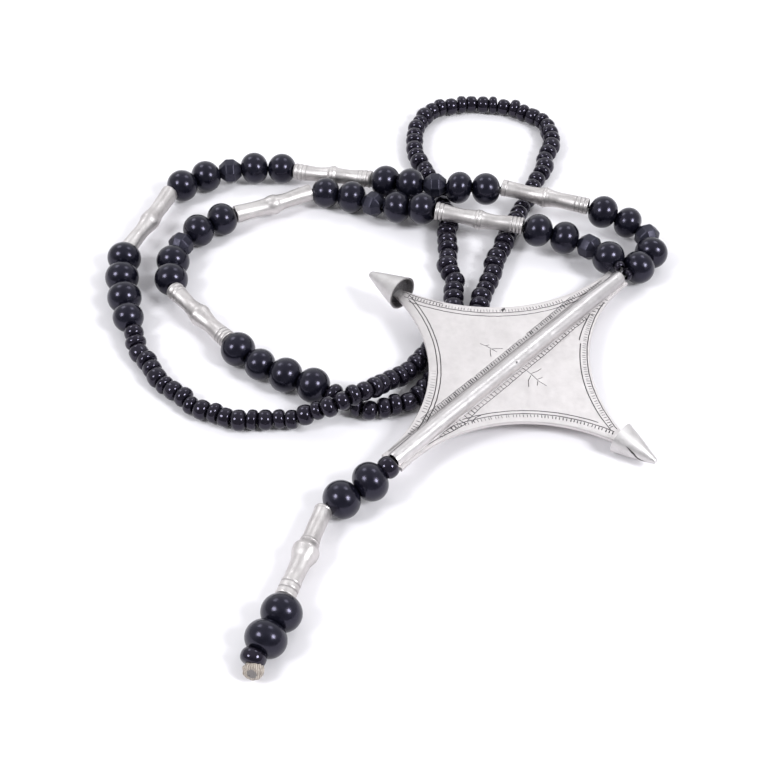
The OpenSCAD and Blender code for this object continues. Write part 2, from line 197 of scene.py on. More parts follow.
COOL, VIOLET = (0.79, 0.75, 1.0), (0.82, 0.76, 1.0)
SILVER = silver_material("silver_satin", 0.45, (0.64, 0.613, 0.605), (0.50, 0.472, 0.466), 0.12 * MM)
CROSS = silver_material("silver_cross", 0.38, (0.67, 0.645, 0.645), (0.58, 0.555, 0.555), 0.015 * MM)
CONE = silver_material("silver_cone", 0.50, (0.66, 0.64, 0.635), (0.56, 0.54, 0.535), 0.08 * MM)
PLATE = silver_material("silver_plate", 0.50, (0.67, 0.638, 0.634), (0.605, 0.575, 0.572), 0.07 * MM, 0.5)
BEAD = bead_material(
    "black_bead", (0.0027, 0.0027, 0.0056), (0.0072, 0.0072, 0.0128), 0.21, COOL, 0.006 * MM
)
GLASS = bead_material(
    "small_glass", (0.0042, 0.0035, 0.0065), (0.0105, 0.009, 0.014), 0.085, VIOLET, 0.004 * MM
)
CUT = bead_material("cut_stone", (0.0045, 0.0048, 0.009), (0.012, 0.0125, 0.021), 0.37, COOL, 0.02 * MM)
CUT_EDGE = bead_material("cut_stone_edge", (0.013, 0.013, 0.02), (0.03, 0.03, 0.042), 0.33, COOL, 0.02 * MM)
THREAD = fibre_material(
    "thread", [(0.3, (0.008, 0.008, 0.01)), (0.7, (0.045, 0.04, 0.042))], 2200.0, 0.06 * MM
)
KNOT = fibre_material("knot", [(0.3, (0.20, 0.165, 0.14)), (0.7, (0.50, 0.44, 0.38))], 900.0, 0.12 * MM)


# Mesh helpers

def unit(v):
    """A vector, or each row of several, at length 1."""
    return v / np.linalg.norm(v, axis=-1, keepdims=True)


def basis(axis):
    """Rows: a level side, up, and the axis itself."""
    axis = unit(axis)
    side = np.cross([0.0, 0.0, 1.0], axis)
    side = unit(side) if np.linalg.norm(side) > 1e-6 else np.array([1.0, 0.0, 0.0])
    return np.array([side, np.cross(axis, side), axis])


def points_of(name):
    mesh = nodes[name].data
    co = np.empty(len(mesh.vertices) * 3, np.float32)
    mesh.vertices.foreach_get("co", co)
    return co.reshape(-1, 3).astype(float)


def middle_of(points):
    return (points.min(0) + points.max(0)) / 2


def drilled(points):
    """Centre, direction, diameter and length of a bead, from the rims of its hole."""
    centre = middle_of(points)
    away = np.linalg.norm(points - centre, axis=1)
    rims = points[away < away.min() * RIM_NEAR] - centre
    axis = np.linalg.svd(rims, full_matrices=False)[2][0]
    if axis[np.argmax(np.abs(axis))] < 0:
        axis = -axis
    across = 2 * np.linalg.norm(np.cross(points - centre, axis), axis=1).max()
    return centre, axis, across, np.ptp((points - centre) @ axis)


def flipped(faces):
    return [tuple(reversed(f)) for f in faces]


def strip_faces(rings, around, ring_loop=False, round_loop=True, start=0):
    """Quads between rings of points, outward where the rings climb along their axis."""
    faces = []
    for i in range(rings if ring_loop else rings - 1):
        a = start + i * around
        b = start + (i + 1) % rings * around
        for k in range(around if round_loop else around - 1):
            j = (k + 1) % around
            faces.append((a + k, a + j, b + j, b + k))
    return faces


def circle(count):
    """Angles evenly round a circle."""
    return np.arange(count) * 2 * math.pi / count


def turned(profile, around):
    """Points of a profile of (radius, height) turned about Z, ring by ring."""
    turn = circle(around)
    radius, height = np.array(profile, float).T[:, :, None]
    return np.stack([radius * np.cos(turn), radius * np.sin(turn), height + 0 * turn], -1)


def show(name, data):
    made = bpy.data.objects.new(name, data)
    scene.collection.objects.link(made)
    return made


def finish_piece(name, mesh, materials, node, sharp):
    """A smooth piece, with edges sharp from an angle in degrees."""
    for look in materials:
        mesh.materials.append(look)
    mesh.polygons.foreach_set("use_smooth", [True] * len(mesh.polygons))
    mesh.set_sharp_from_angle(angle=math.radians(sharp))
    made = show(name, mesh)
    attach(made, "root")
    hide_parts(node)


def add_piece(name, verts, faces, materials, node, sharp, recess=None, places=None):
    """A piece from points in metres, with a darkness per point and a material per face."""
    mesh = bpy.data.meshes.new(name)
    mesh.from_pydata(verts.tolist(), [], [tuple(int(i) for i in f) for f in faces])
    if places is not None:
        mesh.polygons.foreach_set("material_index", places)
    if recess is not None:
        layer = mesh.attributes.new("recess", "FLOAT", "POINT")
        layer.data.foreach_set("value", np.asarray(recess, np.float32))
    mesh.update()
    finish_piece(name, mesh, materials, node, sharp)


# Beads

# Sizes in mm: the hole, its rounded lip, and how far lip and bore lie below the mouth
HOLE, LIP, LIP_DOWN, BORE_DOWN = 0.75, 0.14, 0.06, 0.25
# Points up to this many times as far out as the nearest are on the hole's rim
RIM_NEAR = 1.02
# How far a bead may grow, how near its axis a neighbour counts, and how far they are pressed together
ROOM_MOST, ROOM_ASIDE, PRESSED = 1.4, 2.3, 0.12
# Small beads: widths and roundness to choose from, growth, shift aside, lean in degrees, unevenness
SMALL_WIDER, SMALL_SQUARE = [0.97, 1.0, 1.03, 1.05, 1.07], [0.7, 0.78, 0.85, 0.92]
SMALL_LONGER, SMALL_ASIDE, SMALL_LEAN, SMALL_UNEVEN = 0.4, 0.25, 7.0, 0.012
# Those beyond this x and up to this y, behind the pendant, are wider
BEHIND_X, BEHIND_Y, BEHIND_WIDER = 10.0, 45.0, 1.06
# Where the pieces of the free end lie beside their thread
TAIL_SHIFTS = {
    "tail_small_1": (-0.4, 0.4, 0.2),
    "tail_bead_3": (0.6, 0.1, 0.0),
    "tail_bead_4": (0.2, 0.5, 0.0),
    "tail_small_2": (-0.3, 0.9, 0.15),
    "end_knot": (0.4, 1.2, 0.3),
}
TAIL_TUBE_SHIFTS = np.array([(-0.9, 0.8, 0.1), (-0.15, 0.8, 0.0)])
TAIL_SMALL_LONGER = 0.8


def bead_profile(wide, long, square, steps):
    """Outline of a drilled bead in mm, up its outside and then down its hole."""
    side = long / 2
    flat = wide / 2 - side
    lip = HOLE + LIP
    top = math.acos(min(1.0, max(0.0, (lip - flat) / side)))
    a = np.linspace(-top, top, steps + 1)
    across = flat + side * np.maximum(np.cos(a), 0.0) ** square
    out = list(zip(across, side * np.copysign(np.abs(np.sin(a)) ** square, a)))
    if out[-1][0] > lip + 0.05:
        out = [(lip, -side * 0.985)] + out + [(lip, side * 0.985)]
    mouth = out[-1][1]
    inside = [(HOLE + LIP * 0.35, mouth - LIP_DOWN), (HOLE, mouth - BORE_DOWN)]
    return out + inside + [(radius, -height) for radius, height in reversed(inside)]


def bead_points(wide, long, square, steps, around, seed, uneven):
    """Points in mm about the bead's own centre, a little out of round."""
    chance = random.Random(seed)
    ring = turned(bead_profile(wide, long, square, steps), around)
    turn = np.arctan2(ring[..., 1], ring[..., 0])
    high = ring[..., 2] / long
    p = [chance.uniform(0, 2 * math.pi) for _ in range(4)]
    swell = 0.55 * np.sin(2 * turn + p[0]) + 0.3 * np.sin(3 * turn + p[1]) * np.cos(5 * high + p[2])
    swell = swell + 0.4 * np.sin(4 * high + p[3])
    outside = np.hypot(ring[..., 0], ring[..., 1]) > HOLE * RIM_NEAR
    ring[..., :2] *= np.where(outside, 1 + uneven * swell, 1.0)[..., None]
    return ring


def place(ring, centre, axis):
    return centre + (ring.reshape(-1, 3) * MM) @ basis(axis)


def tilt(axis, amount, chance):
    """The direction turned aside and up or down, by at most an amount in degrees."""
    aside, up, ahead = basis(axis)
    a, b = (math.tan(math.radians(chance.uniform(-amount, amount))) for _ in range(2))
    return unit(ahead + a * aside + b * up)


def free_room(name, centre, axis, side):
    """How far in mm a bead can grow one way: up to a fixed piece, or half way to a bead."""
    reach = ((points_of(name) - centre) @ axis * side).max()
    best, share = ROOM_MOST, 0.0
    for other in nodes:
        if other in (name, "thread"):
            continue
        q = points_of(other) - centre
        along = q @ axis * side
        aside = np.linalg.norm(q - (along * side)[:, None] * axis, axis=1)
        found = along[(aside < ROOM_ASIDE * MM) & (along > reach)]
        if len(found) and found.min() - reach < best * MM:
            best = (found.min() - reach) / MM
            share = 1.0 if other == "pendant" or "_tube_" in other else 0.5
    return best * share + PRESSED


def single_bead(name, material, square=1.0, wider=1.0, steps=26, around=44):
    """A bead of the frame, a little thicker and pressed against its neighbours."""
    centre, axis, wide, long = drilled(points_of(name))
    ahead, behind = (free_room(name, centre, axis, side) for side in (1, -1))
    centre = centre + axis * (ahead - behind) / 2 * MM
    centre[2] += wide * (wider - 1) / 2
    centre = centre + np.array(TAIL_SHIFTS.get(name, (0, 0, 0))) * MM
    wide, long = wide / MM * wider, long / MM + ahead + behind
    if name.startswith("tail_small"):
        long += TAIL_SMALL_LONGER
    ring = bead_points(wide, min(long, wide), square, steps, around, name, 0.006)
    faces = strip_faces(len(ring), around, ring_loop=True)
    add_piece("round." + name, place(ring, centre, axis), faces, [material], name, 50)


SAME_POINT = 0.002 * MM


def joined(name):
    """A node's mesh, with points that lie on each other made one."""
    work = bmesh.new()
    work.from_mesh(nodes[name].data)
    bmesh.ops.remove_doubles(work, verts=work.verts, dist=SAME_POINT)
    return work


def islands(name):
    """The points of each separate solid in a node."""
    work = joined(name)
    seen, found = set(), []
    for first in work.verts:
        if first in seen:
            continue
        seen.add(first)
        todo, group = [first], []
        while todo:
            v = todo.pop()
            group.append(tuple(v.co))
            others = [e.other_vert(v) for e in v.link_edges]
            fresh = [o for o in others if o not in seen]
            seen.update(fresh)
            todo += fresh
        found.append(np.array(group))
    work.free()
    return found


def small_string(name, out_name):
    """All small beads of a node, each with its own size, roundness and lean."""
    verts, faces, count = [], [], 0
    around, steps = 28, 14
    for k, points in enumerate(islands(name)):
        chance = random.Random(f"{name}{k}")
        centre, axis, wide, long = drilled(points)
        behind = centre[0] > BEHIND_X * MM and 0 < centre[1] < BEHIND_Y * MM
        wider = chance.choice(SMALL_WIDER) * (BEHIND_WIDER if behind else 1.0)
        aside = np.array([-axis[1], axis[0], 0.0]) * chance.uniform(-SMALL_ASIDE, SMALL_ASIDE) * MM
        centre = centre + aside + np.array([0, 0, wide * (wider - 1) / 2])
        wide, long = wide / MM * wider, long / MM + SMALL_LONGER
        square = chance.choice(SMALL_SQUARE)
        ring = bead_points(wide, min(long, wide), square, steps, around, f"{name}{k}s", SMALL_UNEVEN)
        verts.append(place(ring, centre, tilt(axis, SMALL_LEAN, chance)))
        faces += strip_faces(len(ring), around, ring_loop=True, start=count)
        count += len(verts[-1])
    add_piece(out_name, np.concatenate(verts), faces, [GLASS], name, 50)


# Faceted beads

FACET_WIDER, WORN_EDGE = 1.06, 0.13
FLAT_BELOW, CUT_FROM, CUT_TO = np.radians([1.5, 12, 70])


def facet_piece(name):
    """The cut bead again, a little thicker and with worn edges."""
    work = joined(name)
    bmesh.ops.dissolve_limit(work, angle_limit=FLAT_BELOW, verts=work.verts, edges=work.edges)
    edges = [e for e in work.edges if len(e.link_faces) == 2 and CUT_FROM < e.calc_face_angle(0) < CUT_TO]
    bmesh.ops.bevel(
        work, geom=edges, offset=WORN_EDGE * MM, segments=2, profile=0.6, affect="EDGES", clamp_overlap=True,
        material=1,
    )
    centre = Vector(middle_of(points_of(name)))
    for v in work.verts:
        v.co = centre + (v.co - centre) * FACET_WIDER
    mesh = bpy.data.meshes.new("cut." + name)
    work.to_mesh(mesh)
    work.free()
    finish_piece("cut." + name, mesh, [CUT, CUT_EDGE], name, 35)


# Silver tubes

# Points round a tube, the step between its rings and the rounding of its ends, then its bore as (radius,
# depth below the end, painted shade), and the darkness in grooves and at the foot of raised rings
TUBE_AROUND, TUBE_STEP, TUBE_EDGE = 44, 0.13, 0.18
TUBE_BORE = ((1.5, 0.0, 0.25), (1.42, 0.12, 0.6), (1.3, 0.8, 1.0), (0.8, 1.2, 1.0))
GROOVE_DARK, RING_FOOT_DARK, RING_FOOT = 0.55, 0.28, 1.25


def raised(x):
    """A smooth hump from -1 to 1."""
    return np.where(np.abs(x) < 1, 0.5 + 0.5 * np.cos(math.pi * np.clip(x, -1, 1)), 0.0)


def tube_axis(name, bead):
    """Middle, direction and length in mm of the tube after a bead of this number."""
    points = points_of(name)
    centre = middle_of(points)
    axis = np.linalg.svd(points - points.mean(0), full_matrices=False)[2][0]
    before, after = (middle_of(points_of(f"{name.split('_')[0]}_bead_{k}")) for k in (bead, bead + 1))
    if axis @ (after - before) < 0:
        axis = -axis
    long = np.ptp((points - centre) @ axis)
    if name == "tail_tube_1":
        half = axis * long / 2
        first, last = np.array([centre - half, centre + half]) + TAIL_TUBE_SHIFTS * MM
        centre, axis = (first + last) / 2, unit(last - first)
    return centre, axis, long / MM


def tube_profile(t, long, widths, rings):
    """Radius and darkness of a tube at the shares t of its length."""
    share, wide = np.array(widths, float).T
    r = smooth_line(share / 100, wide / 2, t)
    dark = np.zeros(len(t))
    for where, half, height in rings:
        away = (t - where / 100) * long
        hump = raised(away / half)
        r = r + height * hump
        if height < 0:
            dark = np.maximum(dark, hump * GROOVE_DARK)
        else:
            for edge in (-RING_FOOT, RING_FOOT):
                dark = np.maximum(dark, RING_FOOT_DARK * raised((away + edge * half) / (half * 0.6)))
    end = np.minimum(t, 1 - t) * long
    return r - TUBE_EDGE * np.clip(1 - end / TUBE_EDGE, 0, 1) ** 2, dark


def tube_piece(name, bead, bend, knob, widths, rings):
    """A bamboo tube from a row of TUBES."""
    centre, axis, long = tube_axis(name, bead)
    t = np.linspace(0, 1, int(long / TUBE_STEP))
    r, dark = tube_profile(t, long, widths, rings)
    turn = circle(TUBE_AROUND)
    down = t[:, None]
    chance = random.Random(name)
    p = [chance.uniform(0, 6.28) for _ in range(5)]
    wave = 0.035 * np.sin(2 * turn + p[0] + 3 * down) + 0.02 * np.sin(3 * turn + p[1] + 9 * down)
    wave = wave + 0.025 * np.sin(14 * down + p[2] + turn)
    wave = wave + knob * np.exp(-(((down - 0.5) / 0.07) ** 2)) * np.sin(4 * turn + p[3])
    outer = r[:, None] + wave
    side = bend * np.sin(math.pi * down)
    lift = 0.12 * np.sin(2 * math.pi * down + p[4])
    high = (down - 0.5) * long + 0 * turn
    shape = np.stack([outer * np.cos(turn) + side, outer * np.sin(turn) + lift, high], -1)
    bore = [(radius, long / 2 - depth) for radius, depth, _ in TUBE_BORE]
    inner = turned(bore + [(radius, -height) for radius, height in reversed(bore)], TUBE_AROUND)
    inner[:len(bore), :, 1] += lift[-1]
    inner[len(bore):, :, 1] += lift[0]
    # Painted shade inside the bore, deepening inwards
    bore_shade = [shade for _, _, shade in TUBE_BORE]
    ring = np.concatenate([shape, inner])
    dark = np.concatenate([dark, bore_shade, bore_shade[::-1]])
    faces = strip_faces(len(ring), TUBE_AROUND, ring_loop=True)
    add_piece("bamboo." + name, place(ring, centre, axis), faces, [SILVER], name, 55,
              recess=np.repeat(dark, TUBE_AROUND))


def smooth_line(xs, ys, t):
    """A smooth line through points, level at each turning point."""
    slope = np.zeros(len(xs))
    rise = np.diff(ys) / np.diff(xs)
    for i in range(1, len(xs) - 1):
        if rise[i - 1] * rise[i] > 0:
            slope[i] = 2 * rise[i - 1] * rise[i] / (rise[i - 1] + rise[i])
    k = np.clip(np.searchsorted(xs, t, side="right") - 1, 0, len(xs) - 2)
    h = xs[k + 1] - xs[k]
    u = (t - xs[k]) / h
    return (
        ys[k] * (1 + 2 * u) * (1 - u) ** 2 + ys[k + 1] * u * u * (3 - 2 * u)
        + h * slope[k] * u * (1 - u) ** 2 + h * slope[k + 1] * u * u * (u - 1)
    )


# Pendant

# Its sizes in mm and its pose, as in the frame
REACH_STRANDS, REACH_TAIL, REACH_UPPER, REACH_LOWER = 43.0, 40.5, 34.5, 31.0
TUBE_TIP, CONE_TIP = 3.0, 1.45
SHIFT_STRANDS, SHIFT_UPPER, SHIFT_TAIL, SHIFT_LOWER = 0.1, -0.5, 1.4, 1.1
SAGS = (8.8, 9.1, 9.4, 8.8)
PLATE_TOP, PLATE_T = -0.4, 1.1
TUBE_LIFT, TUBE_R, TUBE_TAPER, TAPER_L, BORE_R = 0.4, 1.95, 0.25, 12.0, 1.1
TUBE_TURN, TUBE_SIDE, TUBE_SHORT = -1.2, 0.25, 0.8
CONE_R, LOWER_CONE_R, CONE_L, UPPER_LONGER = 4.2, 3.8, 9.7, 1.2
UPPER_DROOP, UPPER_LEAN, LOWER_DROP = 8.0, 3.0, 0.4
PENDANT_AT = np.array([28.8, -14.2, 6.4])
PENDANT_TURN, PENDANT_LEAN, PENDANT_RISE = 48.0, 1.0, 4.0


def turn_matrix(degrees, one, two):
    a = math.radians(degrees)
    made = np.eye(3)
    made[one, one] = made[two, two] = math.cos(a)
    made[one, two] = -math.sin(a)
    made[two, one] = math.sin(a)
    return made


PENDANT_POSE = turn_matrix(PENDANT_TURN, 0, 1) @ turn_matrix(PENDANT_LEAN, 2, 0)
PENDANT_POSE = PENDANT_POSE @ turn_matrix(PENDANT_RISE, 1, 2)


def on_pendant(points):
    """From the pendant's own frame in mm to the scene in metres."""
    return (PENDANT_AT + np.asarray(points, float) @ PENDANT_POSE.T) * MM


CORNERS = [
    (REACH_STRANDS, SHIFT_STRANDS + TUBE_TIP), (SHIFT_UPPER + CONE_TIP, REACH_UPPER),
    (SHIFT_UPPER - CONE_TIP, REACH_UPPER), (-REACH_TAIL, SHIFT_TAIL + TUBE_TIP),
    (-REACH_TAIL, SHIFT_TAIL - TUBE_TIP), (SHIFT_LOWER - CONE_TIP, -REACH_LOWER),
    (SHIFT_LOWER + CONE_TIP, -REACH_LOWER), (REACH_STRANDS, SHIFT_STRANDS - TUBE_TIP),
]
# The sides in order: top, left, bottom and right
SIDES = [(CORNERS[2 * k], CORNERS[2 * k + 1], SAGS[k]) for k in range(4)]
RIGHT = 3


def side_circle(a, b, sag):
    """Centre and radius of the circle that cuts one side of the plate."""
    a, b = np.array(a), np.array(b)
    chord = np.linalg.norm(b - a)
    r = (chord * chord / 4 + sag * sag) / (2 * sag)
    out = np.array([(b - a)[1], -(b - a)[0]]) / chord
    return (a + b) / 2 + out * (r - sag), r


def side_points(side, offset, shares):
    """Points along one side at shares of its length, moved in from the edge."""
    a, b, sag = SIDES[side]
    c, r = side_circle(a, b, sag)
    first = math.atan2(*(np.array(a) - c)[::-1])
    sweep = (math.atan2(*(np.array(b) - c)[::-1]) - first + math.pi) % (2 * math.pi) - math.pi
    turn = first + sweep * np.asarray(shares)
    return c + (r + np.asarray(offset))[..., None] * np.stack([np.cos(turn), np.sin(turn)], -1)


def star_outline(inset):
    """The plate's outline, a little inside its true edge."""
    line = np.concatenate([side_points(side, 0.0, np.linspace(0, 1, 46)) for side in range(4)])
    ahead = np.roll(line, -1, 0) - line
    back = line - np.roll(line, 1, 0)
    way = unit(unit(ahead) + unit(back))
    return line + inset * np.stack([-way[:, 1], way[:, 0]], 1)


def length_of(line):
    return float(np.linalg.norm(np.diff(line, axis=0), axis=1).sum())


SIDE_CIRCLES = [side_circle(*side) for side in SIDES]
SIDE_LENGTHS = [length_of(side_points(side, 0.0, np.linspace(0, 1, 40))) for side in range(4)]


def clear_of_sides(p):
    """Distance in mm from a point of the plate to the nearest curved side."""
    return np.min([np.linalg.norm(p - c, axis=-1) - r for c, r in SIDE_CIRCLES], axis=0)


def tube_line(x):
    """Where the middle of the tube lies across the plate."""
    return TUBE_SIDE + x * math.tan(math.radians(TUBE_TURN))


# Engraved bands, one a side: (offset, from, to) of the lines, with shares of the side's length; then the
# rungs' two offsets and their pitch; then (share, strength) marks that set how clear the rungs are
BANDS = [
    (((1.9, 0.17, 0.99), (3.0, 0.2, 0.96), (0.6, 0.82, 0.99)), (0.7, 1.8, 0.75),
     ((0.1, 0.9), (0.24, 0.85), (0.3, 0.6), (0.44, 0.6), (0.47, 0.35), (0.72, 0.4), (0.78, 0.3), (0.86, 0.9),
      (0.97, 1.0))),
    (((2.0, 0.04, 0.86), (2.85, 0.02, 0.8)), (0.4, 1.85, 0.8),
     ((0.03, 0.0), (0.45, 0.05), (0.55, 0.3), (0.7, 0.55), (0.88, 0.6))),
    (((2.4, 0.22, 0.97), (3.3, 0.24, 0.9)), (1.2, 2.3, 0.78),
     ((0.2, 0.9), (0.3, 0.7), (0.42, 0.5), (0.55, 0.35), (0.66, 0.6), (0.8, 0.85), (0.97, 1.0))),
    (((0.7, 0.04, 0.86),), (0.78, 1.95, 0.72),
     ((0.05, 0.9), (0.2, 0.55), (0.4, 0.5), (0.6, 0.4), (0.68, 0.5), (0.8, 0.8), (0.92, 1.0))),
]
# The right side's inner line swings in, breaks off and starts again: (share, offset)
SWING_LOW = ((0.05, 2.1), (0.14, 2.35), (0.3, 2.45), (0.45, 2.4), (0.535, 2.35))
SWING_HIGH = ((0.545, 2.75), (0.6, 2.6), (0.7, 2.2), (0.8, 2.0), (0.87, 1.95))
# The strip above the tube and the ladder below it: x, then the edge away from the tube and the one by it
STRIP = np.array([
    (-27, 5.0, 3.6), (-20, 4.85, 3.5), (-10, 4.6, 3.4), (0, 4.35, 3.3), (8, 4.3, 3.2), (15, 4.25, 3.1),
    (22, 4.2, 3.0), (29, 4.3, 2.9),
])
LADDER = np.array([
    (-20, -2.9, -0.95), (-15, -2.55, -1.05), (-10, -2.65, -1.2), (-5, -2.8, -1.25), (0, -2.8, -1.4),
    (5, -2.9, -1.5), (10, -3.0, -1.55), (16, -2.85, -1.6), (20, -2.85, -1.65), (26, -3.05, -1.8),
])
AWAY, BY_TUBE = 1, 2
STRIP_PITCH, LADDER_PITCH = 0.76, 1.13
LINE_HALF, RUNG_HALF, CUT_DEPTH = 0.15, 0.14, 0.15
# How far strokes stay from the tube's middle, from the sides, and from the sides where the strip meets them
TUBE_ROOM, SIDE_ROOM, END_ROOM = 2.15, 0.3, 0.7
# Strokes weaker than this are left out
FAINT = 0.12


def jitter(chance, size):
    return np.array([chance.uniform(-size, size), chance.uniform(-size, size)])


def clear_line(points, room=0.1):
    return [p for p in points if strip_clear(p, room)]


def band_strokes(chance):
    """The lines and rungs along the four sides."""
    strokes = []
    for side, (lines, (near, far, pitch), marks) in enumerate(BANDS):
        for offset, first, last in lines:
            points = clear_line(side_points(side, offset, np.linspace(first, last, 42)))
            strokes.append(([p + jitter(chance, 0.04) for p in points], LINE_HALF, 0.95))
        count = int(SIDE_LENGTHS[side] / pitch)
        at, strength = np.array(marks).T
        for k in range(count):
            u = (k + 0.5 + chance.uniform(-0.15, 0.15)) / count
            if not at[0] <= u <= at[-1]:
                continue
            deep = float(np.interp(u, at, strength)) * chance.uniform(0.7, 1.15)
            p = side_points(side, near + chance.uniform(0.0, 0.15), u)
            q = side_points(side, far, u + chance.uniform(-0.0025, 0.0025))
            if deep > FAINT and strip_clear(p, 0.0) and strip_clear(q, 0.0):
                strokes.append(([p, q], RUNG_HALF * chance.uniform(0.85, 1.15), min(deep, 1.0)))
    for marks in (SWING_LOW, SWING_HIGH):
        share, offset = np.array(marks).T
        fine = np.linspace(share[0], share[-1], 24)
        line = clear_line(side_points(RIGHT, smooth_line(share, offset, fine), fine))
        strokes.append((line, LINE_HALF * 1.1, 1.0))
    return strokes


def edges_at(rows, x):
    """The two edges of the strip or the ladder at a place along the tube, or None past its ends."""
    if not rows[0, 0] <= x <= rows[-1, 0]:
        return None
    return [np.interp(x, rows[:, 0], rows[:, edge]) for edge in (AWAY, BY_TUBE)]


def strip_clear(p, room):
    """Whether a point is clear of the tube, of the strip or ladder beside it, and of the sides."""
    away = p[1] - tube_line(p[0])
    if abs(away) < TUBE_ROOM or clear_of_sides(p) < SIDE_ROOM:
        return False
    edges = edges_at(STRIP if away > 0 else LADDER, p[0])
    return edges is None or abs(p[1]) > abs(edges[0]) + room


def line_along(rows, edge, chance, shift=0.0):
    """A hand-cut line along one edge of the strip or the ladder."""
    xs = np.arange(rows[0, 0], rows[-1, 0], 0.9)
    ys = np.interp(xs, rows[:, 0], rows[:, edge]) + shift
    return [(x, y + chance.uniform(-0.05, 0.05)) for x, y in zip(xs, ys)]


def strip_strokes(chance):
    """The slanting strokes above the tube, with a painted shade along the tube's foot and a faint grey band
    at their base.
    """
    xs = np.arange(-REACH_TAIL + 1.5, REACH_STRANDS - 2.5, 1.5)
    # Painted shade along the foot of the tube, cut in as a wide shallow stroke
    strokes = [([(x, tube_line(x) + 2.85) for x in xs], 0.5, 0.27)]
    strokes.append((line_along(STRIP, AWAY, chance, -0.55), 0.7, 0.12))
    x = STRIP[0, 0]
    while x < STRIP[-1, 0]:
        high, low = edges_at(STRIP, x)
        p = (x, low + chance.uniform(-0.1, 0.1))
        q = (x + 0.28 + chance.uniform(-0.12, 0.12), high + chance.uniform(-0.1, 0.05))
        if clear_of_sides(q) > END_ROOM:
            strokes.append(([p, q], RUNG_HALF * chance.uniform(1.0, 1.9), chance.uniform(0.3, 0.9)))
        x += STRIP_PITCH + chance.uniform(-0.16, 0.16)
    outer = [p for p in line_along(STRIP, AWAY, chance) if clear_of_sides(p) > END_ROOM]
    third = len(outer) // 3
    parts = ((0, third, 0.45), (third, 2 * third - 1, 0.3), (2 * third, len(outer), 0.5))
    return strokes + [(outer[first:last], 0.12, strength) for first, last, strength in parts]


def ladder_strokes(chance):
    """The ladder below the tube, deeper towards its ends and clearer towards its right."""
    strokes = []
    start, stop = LADDER[[0, -1], 0]
    x = start + 1
    while x < stop:
        low, high = edges_at(LADDER, x)
        p = (x, high + 0.35)
        q = (x + chance.uniform(-0.12, 0.08), low - 0.15)
        near_end = max(0.0, 1 - (x - start) / 6, 1 - (stop - x) / 4)
        clearer = 0.3 * min(max((x - 2) / 12, 0), 1)
        deep = chance.uniform(0.25, 0.42) + max(0.35 * near_end, clearer)
        strokes.append(([p, q], RUNG_HALF * chance.uniform(0.95, 1.35), deep))
        x += LADDER_PITCH + chance.uniform(-0.12, 0.12)
    strokes.append((line_along(LADDER, AWAY, chance), 0.13, 0.5))
    strokes.append((line_along(LADDER, BY_TUBE, chance, -0.05), 0.12, 0.45))
    return strokes


# Strokes near the plate's ends: count, first x, pitch, gap to the tube's middle, slant, length and what each
# adds to it, half width and strength
END_STROKES = (
    (7, -27.6, 1.12, 1.85, 0.3, 1.0, 0.2, RUNG_HALF, 0.7),
    (6, 27.2, 1.35, 1.8, 0.5, 1.35, -0.1, RUNG_HALF * 1.2, 0.9),
)
LONG_LINES = (
    ((-20.2, -3.3), (-24.0, -2.55), (-28.5, -1.45), (-33.0, -0.75)),
    ((-22.5, -1.65), (-26.0, -1.2), (-30.0, -0.72), (-36.0, -0.5)),
    ((-19.6, -4.0), (-17.6, -3.6), (-16.0, -4.1)),
)
# A plain sprig on each side of the tube
SPRIGS = (
    ((0.6, 10.4), (1.1, 8.5), (1.3, 6.6), (1.4, 5.3)),
    ((1.2, 7.2), (2.3, 6.3), (3.4, 5.2)),
    ((1.1, 7.4), (0.1, 6.6), (-0.9, 5.5)),
    ((0.9, 8.9), (2.0, 8.3)),
    ((1.9, -2.9), (1.7, -4.8), (1.3, -7.0), (1.5, -9.4)),
    ((1.8, -4.3), (3.4, -4.9), (5.0, -5.1)),
    ((1.6, -4.6), (-0.3, -5.2), (-1.9, -6.6)),
    ((1.4, -6.4), (3.0, -7.0)),
    ((1.3, -6.8), (-0.2, -7.7)),
)
# One deep nick near the upper cone: its two ends, half width and strength
NICK = (((13.0, 13.4), (13.8, 13.3)), 0.42, 1.0)


def loose_strokes():
    """The strokes and lines near the plate's ends, the sprigs and the nick."""
    strokes = []
    for count, first, pitch, gap, slant, long, more, half, strength in END_STROKES:
        for k in range(count):
            x = first + k * pitch
            top = tube_line(x) - gap
            strokes.append((((x, top), (x + slant, top - long - more * k)), half, strength))
    strokes += [(line, LINE_HALF * 0.9, 0.9) for line in LONG_LINES]
    strokes += [(line, 0.10, 0.8) for line in SPRIGS]
    return strokes + [NICK]


def engraving():
    """Engraved strokes, and the painted shade by the tube, as (points, half width, strength), all in mm on
    the plate.
    """
    chance = random.Random(11)
    strokes = band_strokes(chance) + strip_strokes(chance) + ladder_strokes(chance) + loose_strokes()
    return [(with_shoulders(line), half, strength) for line, half, strength in strokes if len(line) > 1]


def with_shoulders(line):
    """A stroke with a point near each end, where it comes to its full depth."""
    line = np.array(line)
    reach = min(0.35, 0.2 * length_of(line))
    first = line[0] + unit(line[1] - line[0]) * reach
    last = line[-1] + unit(line[-2] - line[-1]) * reach
    return np.concatenate([line[:1], [first], line[1:-1], [last], line[-1:]])


def stroke_outline(line, half):
    """A stroke's middle and its left and right edges, with pointed ends."""
    way = unit(np.gradient(line, axis=0))
    across = (np.stack([-way[:, 1], way[:, 0]], 1) * half)[1:-1]
    return line, line[1:-1] + across, line[1:-1] - across


